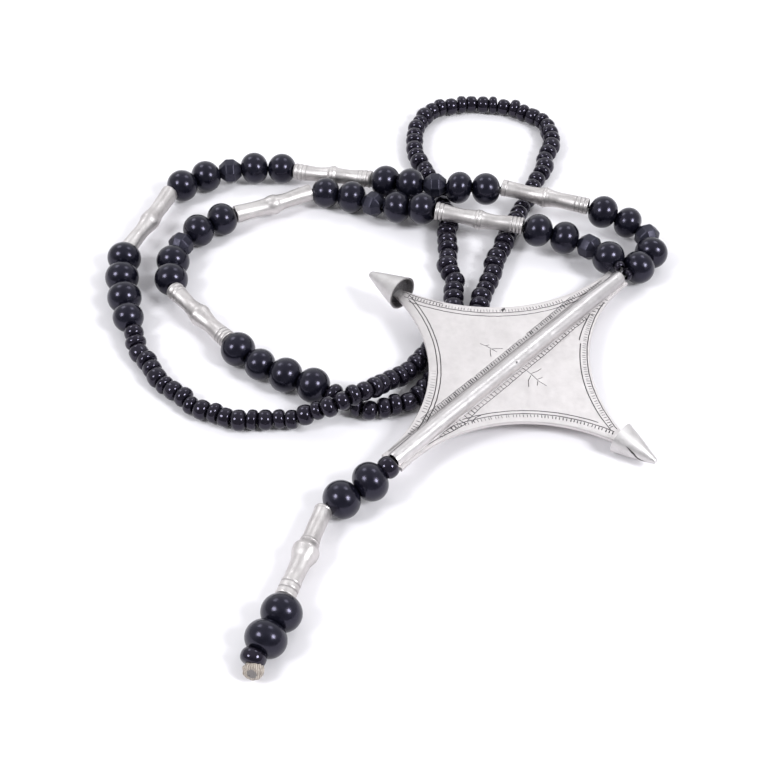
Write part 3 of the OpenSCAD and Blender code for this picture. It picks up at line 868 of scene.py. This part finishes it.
def nearest_depth(points, strokes):
    """How far into a groove each point is, from 0 to the stroke's strength."""
    best = np.zeros(len(points))
    for line, half, strength in strokes:
        near = np.all((points > line.min(0) - 0.5) & (points < line.max(0) + 0.5), axis=1)
        if not near.any():
            continue
        p = points[near]
        steps = np.linalg.norm(np.diff(line, axis=0), axis=1)
        run = np.r_[0, np.cumsum(steps)]
        for k in range(len(line) - 1):
            a, b = line[k], line[k + 1]
            u = np.clip((p - a) @ (b - a) / ((b - a) @ (b - a)), 0, 1)
            along = run[k] + u * steps[k]
            full = np.clip(np.minimum(along / steps[0], (run[-1] - along) / steps[-1]), 0, 1)
            away = np.linalg.norm(p - a - u[:, None] * (b - a), axis=1)
            into = np.clip(1 - away / (half * np.maximum(full, 0.05)), 0, 1)
            best[near] = np.maximum(best[near], into * full * strength)
    return best


def unevenness(points):
    """Height in mm of the hand-worked sheet above its flat form."""
    x, y = points.T
    wave = 0.035 * np.sin(x / 5.1 + 0.7) * np.sin(y / 4.3 + 0.4) + 0.02 * np.sin(x / 2.3 + y / 3.1)
    upper = 0.12 * np.exp(-((x - 9) ** 2 + (y - 12) ** 2) / 120)
    lower = 0.1 * np.exp(-((x + 10) ** 2 + (y + 9) ** 2) / 90)
    return wave - upper - lower


# How far the engraved face ends inside the rim, and its grid of plain points
RIM_INSET = 0.28
FILL_ACROSS, FILL_UP, FILL_SHIFT = 1.45, 1.3, 0.7
# The plate's rounded side, ring by ring: inset and depth below its top
SIDE_RINGS = ((0.10, 0.05), (0.0, 0.22), (0.0, PLATE_T - 0.25), (0.12, PLATE_T - 0.06), (0.4, PLATE_T))


def groove_lines(rim, strokes):
    """Points and edges of the rim, and of each stroke's middle and two flanks."""
    verts = [Vector(p) for p in rim]
    edges = [(k, (k + 1) % len(rim)) for k in range(len(rim))]
    for line, half, _ in strokes:
        middle, left, right = stroke_outline(line, half)
        start = len(verts)
        verts += [Vector(p) for p in middle]
        edges += [(start + k, start + k + 1) for k in range(len(middle) - 1)]
        for flank in (left, right):
            first = len(verts)
            verts += [Vector(p) for p in flank]
            edges += [(first + k, first + k + 1) for k in range(len(flank) - 1)]
            edges += [(start, first), (first + len(flank) - 1, start + len(middle) - 1)]
    return verts, edges


def fill_points(strokes):
    """Points of a loose grid on the plate, clear of its sides and of the strokes."""
    row, column = np.mgrid[-24:27, -30:33]
    fill = np.stack([column * FILL_ACROSS + row % 2 * FILL_SHIFT, row * FILL_UP], -1).reshape(-1, 2)
    inside = (fill > (1 - REACH_TAIL, 1 - REACH_LOWER)) & (fill < (REACH_STRANDS - 1, REACH_UPPER - 1))
    fill = fill[inside.all(1) & (clear_of_sides(fill) > END_ROOM)]
    wide = [(line, half * 2.6, 1.0) for line, half, _ in strokes]
    return fill[nearest_depth(fill, wide) <= 0]


def plate_mesh():
    """The plate, with grooves in its triangulated face and rounded sides."""
    strokes = engraving()
    rim = star_outline(RIM_INSET)
    verts, edges = groove_lines(rim, strokes)
    verts += [Vector(p) for p in fill_points(strokes)]
    made = geometry.delaunay_2d_cdt(verts, edges, [], 1, 1e-5, True)
    flat = np.array([tuple(p) for p in made[0]])
    where = {old: new for new, olds in enumerate(made[3]) for old in olds if old < len(rim)}
    depth = nearest_depth(flat, strokes)
    edge_fade = np.clip(clear_of_sides(flat) / 1.5, 0, 1)
    top = np.column_stack([flat, PLATE_TOP + unevenness(flat) * edge_fade - CUT_DEPTH * depth])
    faces = []
    for f in made[2]:
        a, b, c = (flat[i] for i in f[:3])
        if clear_of_sides((a + b + c) / 3) < RIM_INSET - 0.005:
            continue
        turned_left = (b[0] - a[0]) * (c[1] - a[1]) - (b[1] - a[1]) * (c[0] - a[0]) > 0
        faces.append(tuple(f) if turned_left else tuple(reversed(f)))
    around = len(rim)
    rings = [[where[k] for k in range(around)]]
    verts = [top]
    for level, (inset, down) in enumerate(SIDE_RINGS):
        verts.append(np.column_stack([star_outline(inset), np.full(around, PLATE_TOP - down)]))
        start = len(top) + level * around
        rings.append(range(start, start + around))
    for upper, lower in zip(rings, rings[1:]):
        for k in range(around):
            j = (k + 1) % around
            faces.append((upper[k], lower[k], lower[j], upper[j]))
    faces.append(tuple(reversed(rings[-1])))
    # Dark in the engraved grooves, and painted shade in the wide stroke along the tube's foot
    dark = np.concatenate([np.clip(depth * 1.25, 0, 1), np.zeros(around * len(SIDE_RINGS))])
    return np.concatenate(verts), faces, dark


def tube_r(x):
    """Radius of the cross tube at a place along it, narrower towards both ends."""
    end = np.minimum(x + REACH_TAIL, REACH_STRANDS - TUBE_SHORT - x)
    return TUBE_R - TUBE_TAPER * np.clip(1 - end / TAPER_L, 0, 1)


def on_tube(points):
    """From a straight tube along x to where it lies on the plate."""
    return points @ turn_matrix(TUBE_TURN, 0, 1).T + np.array([0.0, TUBE_SIDE, TUBE_LIFT])


# Hollows in the cross tube: x, degrees round it, size and depth. The first is a small dark pit
PIT = (0.3, 54.0, 0.36, 0.05)
DENTS = (PIT, (13.0, 60.0, 1.6, 0.08), (-17.0, 120.0, 2.0, 0.07), (27.0, 100.0, 1.8, 0.07))
# Its bore from the mouth inwards: depth, and how much wider it is than further in
MOUTH = ((0.0, 0.28), (0.2, 0.14), (3.0, 0.0))
# Painted shade with some tarnish on its near side: places along it, how dark it is there, and where round it
# it is darkest
NEAR_SHADE_X, NEAR_SHADE_DARK, NEAR_SHADE_TURN = (14, 27, 40), (0, 0.24, 0.32), math.radians(22)


def hollow(xs, turn, x, degrees, size):
    """How far into a round hollow of the cross tube each point is, from 0 to 1."""
    round_by = (turn - math.radians(degrees) + math.pi) % (2 * math.pi) - math.pi
    gap = (xs[:, None] - x) ** 2 + (TUBE_R * round_by) ** 2
    return np.exp(-gap / (size * size / 2))


def cross_tube():
    """The open tube across the plate, a little dented, with painted shade on its near side and in its bore.
    """
    turn = circle(56)
    xs = np.linspace(-REACH_TAIL, REACH_STRANDS - TUBE_SHORT, 150)
    xs = np.sort(np.r_[xs, PIT[0] + np.linspace(-0.45, 0.45, 7)])
    end = np.minimum(xs - xs[0], xs[-1] - xs)
    r = tube_r(xs) - 0.12 * np.clip(1 - end / 0.25, 0, 1) ** 2
    r = r + 0.03 * np.sin(xs / 3.3) + 0.02 * np.sin(xs / 1.3 + 1)
    outer = r[:, None] + 0.02 * np.sin(2 * turn + xs[:, None] / 9)
    for x, degrees, size, deep in DENTS:
        outer = outer - deep * hollow(xs, turn, x, degrees, size)
    bore = [(xs[-1] - down, BORE_R + wider) for down, wider in MOUTH]
    bore += [(xs[0] + down, BORE_R + wider) for down, wider in reversed(MOUTH)]
    bore_x, bore_r = np.array(bore).T
    x = np.r_[xs, bore_x][:, None] + 0 * turn
    radius = np.concatenate([outer, bore_r[:, None] + 0 * turn])
    ring = np.stack([x, -radius * np.cos(turn), radius * np.sin(turn)], -1)
    dark = np.zeros(x.shape)
    # Painted shade with some tarnish, darkest on the near side towards the strands end
    near_side = np.clip(np.cos(turn - NEAR_SHADE_TURN), 0, 1) ** 2
    near_shade = np.interp(xs, NEAR_SHADE_X, NEAR_SHADE_DARK)[:, None] * near_side
    spot = np.clip(1.8 * hollow(xs, turn, *PIT[:3]), 0, 1)
    dark[:len(xs)] = np.maximum(spot, near_shade)
    # Painted shade inside the bore
    dark[len(xs) + 1:-1] = 1.0
    faces = strip_faces(len(ring), len(turn), ring_loop=True)
    return on_tube(ring.reshape(-1, 3)), faces, dark.reshape(-1)


def solder(hand):
    """The concave strip of solder along one foot of the tube."""
    xs = np.linspace(-REACH_TAIL + 0.6, REACH_STRANDS - TUBE_SHORT - 0.6, 90)[:, None]
    a = np.radians(np.linspace(0, 90, 7))
    foot = TUBE_LIFT - PLATE_TOP
    end = np.minimum(np.minimum(xs - xs[0], xs[-1] - xs), 2.0) / 2.0
    size = (0.3 + 0.05 * np.sin(xs * 1.3) + 0.04 * np.sin(xs * 3.1 + hand)) * (0.35 + 0.65 * end)
    away = np.sqrt(tube_r(xs) ** 2 - foot ** 2) - 0.02 + size * (1 - np.sin(a))
    high = size * (1 - np.cos(a)) * 1.2 - foot - 0.03
    verts = np.stack([xs + 0 * a, hand * away, high], -1)
    dark = np.tile([0.34] * 2 + [0.12] * (len(a) - 2), len(xs))
    faces = strip_faces(len(xs), len(a), round_loop=False)
    if hand > 0:
        faces = flipped(faces)
    return on_tube(verts.reshape(-1, 3)), faces, dark


WALL, SEAM_STEP = 0.5, 0.16
# The disc in a cone's mouth: share of its radius, depth below the disc's edge, and painted shade
DISC_RINGS = ((1.0, 0.0, 0.92), (0.6, 0.05, 0.92), (0.3, 0.08, 0.9))


def about_y(radius, y, turn):
    """Points at some angles round the y axis."""
    return np.column_stack([radius * np.cos(turn), np.full(len(turn), y), radius * np.sin(turn)])


def rolled_cone(base_r, length, seam, tip_r, deep):
    """A cone rolled from sheet, tip along +Y, and its inner disc at a depth, with painted shade inside it
    and along its seam.

    The seam is (share of length, degrees, half gap in mm) along its open edge.
    """
    around, count, disc = 56, 40, 40
    share, degrees, gap = np.array(seam, float).T
    u = np.linspace(0, 1, count)
    outer = base_r * (1 - u) + tip_r * u + 0.10 * np.sin(u * math.pi)
    outer[-1] -= 0.12
    inner = np.maximum(outer - WALL, 0.04)
    middle = np.interp(u, share, degrees)
    half = np.interp(u, share, gap)
    along = np.linspace(0, 1, around)
    flap = SEAM_STEP * (half.max() > 0) * np.clip(1 - along * 6, 0, 1)
    rings = []
    for k in range(count):
        opening = math.degrees(half[k] / max(outer[k], 0.3))
        turn = np.radians(middle[k] + opening + (360 - 2 * opening) * along)
        lift = flap * math.sin(math.pi * min(1, u[k] * 1.5))
        uneven = 0.03 * np.sin(3 * turn + 5 * u[k])
        rings.append(about_y(outer[k] + lift + uneven, length * u[k], turn))
        rings.append(about_y(inner[k] + uneven, length * u[k], turn)[::-1])
    loop = 2 * around
    faces = flipped(strip_faces(count, loop))
    # Painted shade on the inside of the sheet and beside the open seam
    edge = np.zeros((count, loop))
    edge[:, around:] = 0.8
    edge[:, [0, around - 1]] = np.clip(half / 0.2, 0, 1)[:, None] * 0.6
    for k in range(around - 1):
        faces.append((k, k + 1, loop - 2 - k, loop - 1 - k))
    tip = (count - 1) * loop
    faces.append(tuple(tip + k for k in range(around))[::-1])
    start = count * loop
    disc_r = base_r - (base_r - tip_r) * deep / length - WALL + 0.15
    rings += [about_y(disc_r * part, deep - down, circle(disc)) for part, down, _ in DISC_RINGS]
    # Painted shade on the disc in the cone's mouth
    shades = np.repeat([shade for _, _, shade in DISC_RINGS], disc)
    faces += strip_faces(len(DISC_RINGS), disc, start=start)
    faces.append(tuple(range(start + 2 * disc, start + 3 * disc)))
    return np.concatenate(rings), faces, np.concatenate([edge.reshape(-1), shades])


def upper_cone():
    closed = [(0, 270, 0.0), (1, 270, 0.0)]
    points, faces, dark = rolled_cone(CONE_R, CONE_L + UPPER_LONGER, closed, 0.75, 1.6)
    points = points @ turn_matrix(-UPPER_DROOP, 1, 2).T @ turn_matrix(-UPPER_LEAN, 0, 1).T
    return points + np.array([SHIFT_UPPER, REACH_UPPER - 0.55, 0.0]), faces, dark


def lower_cone():
    seam = [
        (0, 40, 0.0), (0.27, 37, 0.0), (0.4, 28, 0.16), (0.53, 14, 0.22), (0.67, -18, 0.24),
        (0.85, -42, 0.16), (1, -50, 0.05),
    ]
    points, faces, dark = rolled_cone(LOWER_CONE_R, CONE_L, seam, 0.6, 0.4)
    points = points * np.array([-1.0, -1.0, 1.0])
    return points + np.array([SHIFT_LOWER, -REACH_LOWER + 0.4, -LOWER_DROP]), faces, dark


def neck(x, y, way, reach):
    """The solder that joins the plate's tip to the disc of a cone, with painted shade deepening into the
    cone.
    """
    turn = circle(20)
    verts = []
    for u, grow in ((0.0, 1.0), (0.35, 1.0), (0.7, 1.05), (1.0, 1.2)):
        across = CONE_TIP * grow * np.cos(turn)
        high = PLATE_TOP - PLATE_T / 2 + PLATE_T * 0.58 * grow * np.sin(turn)
        verts.append(np.column_stack([x + across, np.full(len(turn), y + way * (u * reach - 0.9)), high]))
    faces = strip_faces(len(verts), len(turn))
    if way > 0:
        faces = flipped(faces)
    # Painted shade, deepening towards the cone's mouth
    return np.concatenate(verts), faces, np.repeat([0.1, 0.15, 0.45, 0.8], len(turn))


def build_pendant():
    """The pendant in one piece, from parts with their material's number."""
    parts = [
        (0, plate_mesh()), (1, cross_tube()), (1, solder(1)), (1, solder(-1)), (2, upper_cone()),
        (2, lower_cone()), (2, neck(SHIFT_UPPER, REACH_UPPER, 1, 2.2)),
        (2, neck(SHIFT_LOWER, -REACH_LOWER, -1, 1.3)),
    ]
    verts, faces, dark, places, count = [], [], [], [], 0
    for look, (points, quads, shade) in parts:
        verts.append(on_pendant(points))
        faces += [tuple(i + count for i in f) for f in quads]
        places += [look] * len(quads)
        dark.append(shade)
        count += len(points)
    add_piece("star_pendant", np.concatenate(verts), faces, [PLATE, CROSS, CONE], "pendant", 22,
              recess=np.concatenate(dark), places=places)


# Knot and thread

# The cord's end in mm: radius, half height, height of its cut face, and radius of the dark ends there
KNOT_R, KNOT_HALF, KNOT_CUT, KNOT_DARK_R = 2.1, 1.8, 1.05, 1.05
KNOT_LEAN = np.array([0, 0, 0.55])


def build_knot():
    """The cut end of the cord: a fibrous ball with dark thread ends in its face."""
    centre = middle_of(points_of("end_knot"))
    axis = unit(unit(centre - middle_of(points_of("tail_small_2"))) + KNOT_LEAN)
    centre = centre + np.array(TAIL_SHIFTS["end_knot"]) * MM
    around, rows = 64, 34
    verts = np.zeros((rows, around, 3))
    dark = np.zeros((rows, around))
    for i, a in enumerate(np.radians(np.linspace(-86, 86, rows))):
        high = KNOT_HALF * math.sin(a)
        past = max(0.0, high - KNOT_CUT)
        for k, t in enumerate(circle(around)):
            rough = noise.noise(Vector((math.cos(t) * 3, math.sin(t) * 3, a * 3)))
            r = KNOT_R + 0.07 * math.sin(9 * t + 5.0 * a) + 0.16 * rough
            r *= (1.0 + 0.05 * math.sin(2 * t + 1)) * math.cos(a)
            verts[i, k] = (r * math.cos(t), r * math.sin(t), high - past * 0.8)
            dark[i, k] = past > 0 and r < KNOT_DARK_R
    faces = strip_faces(rows, around)
    faces.append(tuple(reversed(range(around))))
    faces.append(tuple(range((rows - 1) * around, rows * around)))
    add_piece("cord_end", place(verts, centre, axis), faces, [KNOT], "end_knot", 60,
              recess=dark.reshape(-1))


# Build

# Bamboo tubes: the number of the bead before each, its bend, the knob in its middle, then its widths as
# (percent of its length, diameter) and its rings as (percent, half-width, height)
TUBES = [
    ("inner_tube_1", 3, 0.2, 0.0,
     [(0, 4.3), (14, 4.25), (30, 3.9), (42, 4.3), (50, 5.0), (58, 4.4), (72, 3.9), (88, 4.4), (100, 4.7)],
     [(3.5, 0.3, -0.14), (7.5, 0.3, -0.14), (12, 0.3, -0.12), (48.5, 0.35, 0.16), (52, 0.35, 0.16),
      (91, 0.32, -0.14), (95.5, 0.3, -0.14)]),
    ("outer_tube_1", 4, -0.15, 0.0,
     [(0, 4.3), (15, 4.2), (32, 4.0), (44, 4.6), (50, 5.2), (58, 4.5), (70, 4.0), (88, 4.2), (100, 4.5)],
     [(4.5, 0.3, -0.1), (9, 0.3, -0.1), (14, 0.3, -0.08), (50, 0.35, 0.14), (94, 0.25, -0.12)]),
    ("inner_tube_2", 7, 0.25, 0.06,
     [(0, 4.5), (15, 4.3), (34, 3.95), (43, 4.5), (49, 5.2), (53, 5.1), (60, 4.4), (75, 4.1), (100, 4.5)],
     []),
    ("outer_tube_2", 8, 0.1, 0.0,
     [(0, 4.3), (15, 4.2), (30, 3.9), (44, 4.3), (49, 5.2), (51, 5.2), (56, 4.3), (70, 3.9),
      (85, 4.2), (100, 4.3)],
     [(3, 0.5, 0.18), (8.5, 0.5, 0.18), (14, 0.45, 0.14), (86, 0.45, 0.14), (91.5, 0.5, 0.18),
      (97, 0.5, 0.18)]),
    ("inner_tube_3", 11, -0.2, 0.06,
     [(0, 4.4), (14, 4.2), (30, 3.9), (42, 4.6), (50, 5.5), (57, 4.8), (70, 4.0), (85, 4.3), (100, 4.6)],
     [(4, 0.5, 0.16), (10, 0.45, 0.12), (88, 0.3, -0.12), (93, 0.3, -0.12), (97.5, 0.3, -0.1)]),
    ("outer_tube_3", 12, 0.25, 0.05,
     [(0, 4.5), (20, 4.3), (36, 4.2), (46, 4.9), (52, 5.2), (58, 4.6), (70, 4.0), (100, 4.3)],
     []),
    ("tail_tube_1", 2, 0.15, 0.08,
     [(0, 4.1), (10, 4.0), (30, 4.0), (41, 4.4), (49, 6.0), (53, 5.8), (62, 4.5), (78, 4.1),
      (86, 4.4), (100, 4.4)],
     [(2, 0.3, 0.1), (40, 0.28, 0.12), (86.5, 0.32, -0.16), (93, 0.32, -0.16)]),
]

for name in sorted(nodes):
    kind = name.split("_")[1] if "_" in name else name
    if kind == "bead":
        single_bead(name, BEAD, wider=1.09 if name.startswith("tail") else 1.05)
    elif kind == "tiny":
        single_bead(name, GLASS, square=0.8, steps=14, around=28)
    elif kind == "small" and name.startswith("tail"):
        single_bead(name, GLASS, square=0.84, wider=1.1, steps=18, around=36)
    elif kind == "facet":
        facet_piece(name)

small_string("small_beads_inner", "small_string_inner")
small_string("small_beads_outer", "small_string_outer")
for facts in TUBES:
    tube_piece(*facts)
build_pendant()
build_knot()
thread = nodes["thread"]
thread.data.materials.clear()
thread.data.materials.append(THREAD)


# Floor, lights, camera

FLOOR_HALF = 2.5
LAMP_AWAY, LAMP_COLOUR = 0.9, (0.95, 0.97, 1.0)
# Lamps: direction, size in metres and power in watts
LAMPS = {
    "left_light": ((-0.625, -0.325, 0.71), 0.30, 4.0),
    "right_light": ((0.613, -0.41, 0.675), 0.28, 5.8),
    "back_left_light": ((-0.462, 0.571, 0.677), 0.30, 0.9),
    "back_right_light": ((0.374, 0.521, 0.767), 0.30, 0.9),
}
# Brightness of the surroundings by direction, from the front at -1 to the back at 1
SKY = (
    (-1.0, 0.36), (-0.875, 0.28), (-0.68, 0.28), (-0.41, 0.46), (-0.09, 0.68), (0.25, 0.72), (0.6, 0.85),
    (0.95, 1.15),
)


def floor():
    corners = [(x * FLOOR_HALF, y * FLOOR_HALF, 0) for x, y in ((-1, -1), (1, -1), (1, 1), (-1, 1))]
    mesh = bpy.data.meshes.new("floor")
    mesh.from_pydata(corners, [], [(0, 1, 2, 3)])
    look, shader, at = start_material("floor_white", Roughness=1.0, IOR=1.0)
    tint = ramp(noise_of(at, 3.0), [(0.3, (0.82, 0.80, 0.82)), (0.7, (0.83, 0.81, 0.83))])
    feed(shader, Base_Color=tint)
    mesh.materials.append(look)
    show("floor", mesh)


def softbox(name, way, size, power):
    lamp = bpy.data.lights.new(name, "AREA")
    lamp.shape = "DISK"
    lamp.size = size
    lamp.energy = power
    lamp.color = LAMP_COLOUR
    made = show(name, lamp)
    made.location = Vector(way).normalized() * LAMP_AWAY
    made.rotation_euler = Vector(way).to_track_quat("Z", "Y").to_euler()


def surroundings():
    """A plain studio, paler towards the back."""
    world = bpy.data.worlds.new("studio")
    scene.world = world
    world.use_nodes = True
    background = world.node_tree.nodes["Background"]
    way = add_node(background, "ShaderNodeTexCoord").outputs["Generated"]
    split = add_node(background, "ShaderNodeSeparateXYZ", Vector=way)
    tones = [((y + 1) / 2, (tone * 0.97, tone * 0.98, tone)) for y, tone in SKY]
    feed(background, Color=ramp(remap(split.outputs["Y"], -1.0, 1.0), tones))


def photo_camera():
    """The camera at the photograph's viewing angle."""
    camera = bpy.data.cameras.new("camera")
    camera.sensor_width = 36.0
    camera.lens = 64.92
    camera.clip_start = 0.01
    made = show("camera", camera)
    made.location = (-0.0011, -0.2366, 0.2414)
    made.rotation_euler = (math.radians(42.7), 0.0, 0.0)
    scene.camera = made
    scene.view_settings.view_transform = "Standard"
    scene.view_settings.look = "None"


floor()
for name, facts in LAMPS.items():
    softbox(name, *facts)
surroundings()
photo_camera()
